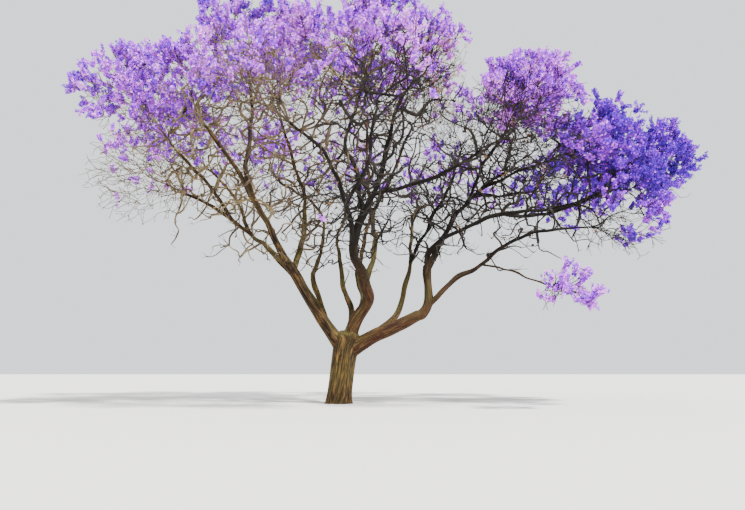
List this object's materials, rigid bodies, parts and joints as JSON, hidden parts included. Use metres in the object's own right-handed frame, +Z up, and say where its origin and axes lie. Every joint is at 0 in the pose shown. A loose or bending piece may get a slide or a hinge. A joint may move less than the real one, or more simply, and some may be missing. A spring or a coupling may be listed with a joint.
{
  "type": "jacaranda tree",
  "caption": "Wide jacaranda in blossom, nearly leafless, with a low-forking fluted trunk, sinuous spreading boughs and a broken lilac crown.",
  "frame": {"origin": "middle of the flat cut under the trunk, at ground level", "axes": "+Z up along the trunk, +X to the right as the picture sees the tree, +Y away from the viewer"},
  "size_m": [20.9043, 16.2026, 14.3719],
  "materials": {
    "bark": "rough fluted bark",
    "blossom": "matt petals on thin twigs"
  },
  "bodies": {
    "root": {"trunk": "bark", "bough_left": "bark", "bough_right": "bark", "bough_centre": "bark", "bough_right_rise": "bark", "bough_centre_rise": "bark", "bough_top_left": "bark", "bough_left_crest": "bark", "bough_top_back_left": "bark", "bough_left_skirt": "bark", "bough_left_lobe": "bark", "bough_left_back": "bark", "bough_back_left": "bark", "bough_back_centre": "bark", "bough_crown_centre": "bark", "bough_left_front": "bark", "bough_front_mid": "bark", "bough_right_front": "bark", "bough_top_right": "bark", "bough_top_mid": "bark", "bough_top": "bark", "bough_top_back": "bark", "bough_back_right": "bark", "bough_shoulder_back": "bark", "bough_right_outer": "bark", "bough_right_skirt": "bark", "bough_right_tip": "bark", "bough_right_inner": "bark", "bough_right_back": "bark", "bough_right_shoulder": "bark", "bough_right_crest": "bark", "bough_right_drop": "bark", "mass_top_left": "blossom", "mass_left_crest": "blossom", "mass_left_lobe": "blossom", "mass_left_skirt": "blossom", "mass_left_back": "blossom", "mass_left_front": "blossom", "mass_top_back_left": "blossom", "mass_back_left": "blossom", "mass_top_mid": "blossom", "mass_top": "blossom", "mass_top_right": "blossom", "mass_top_back": "blossom", "mass_crown_centre": "blossom", "mass_back_centre": "blossom", "mass_front_mid": "blossom", "mass_right_front": "blossom", "mass_shoulder_back": "blossom", "mass_back_right": "blossom", "mass_right_crest": "blossom", "mass_right_shoulder": "blossom", "mass_right_inner": "blossom", "mass_right_back": "blossom", "mass_right_outer": "blossom", "mass_right_tip": "blossom", "mass_right_skirt": "blossom", "mass_right_drop": "blossom"}
  },
  "joints": []
}
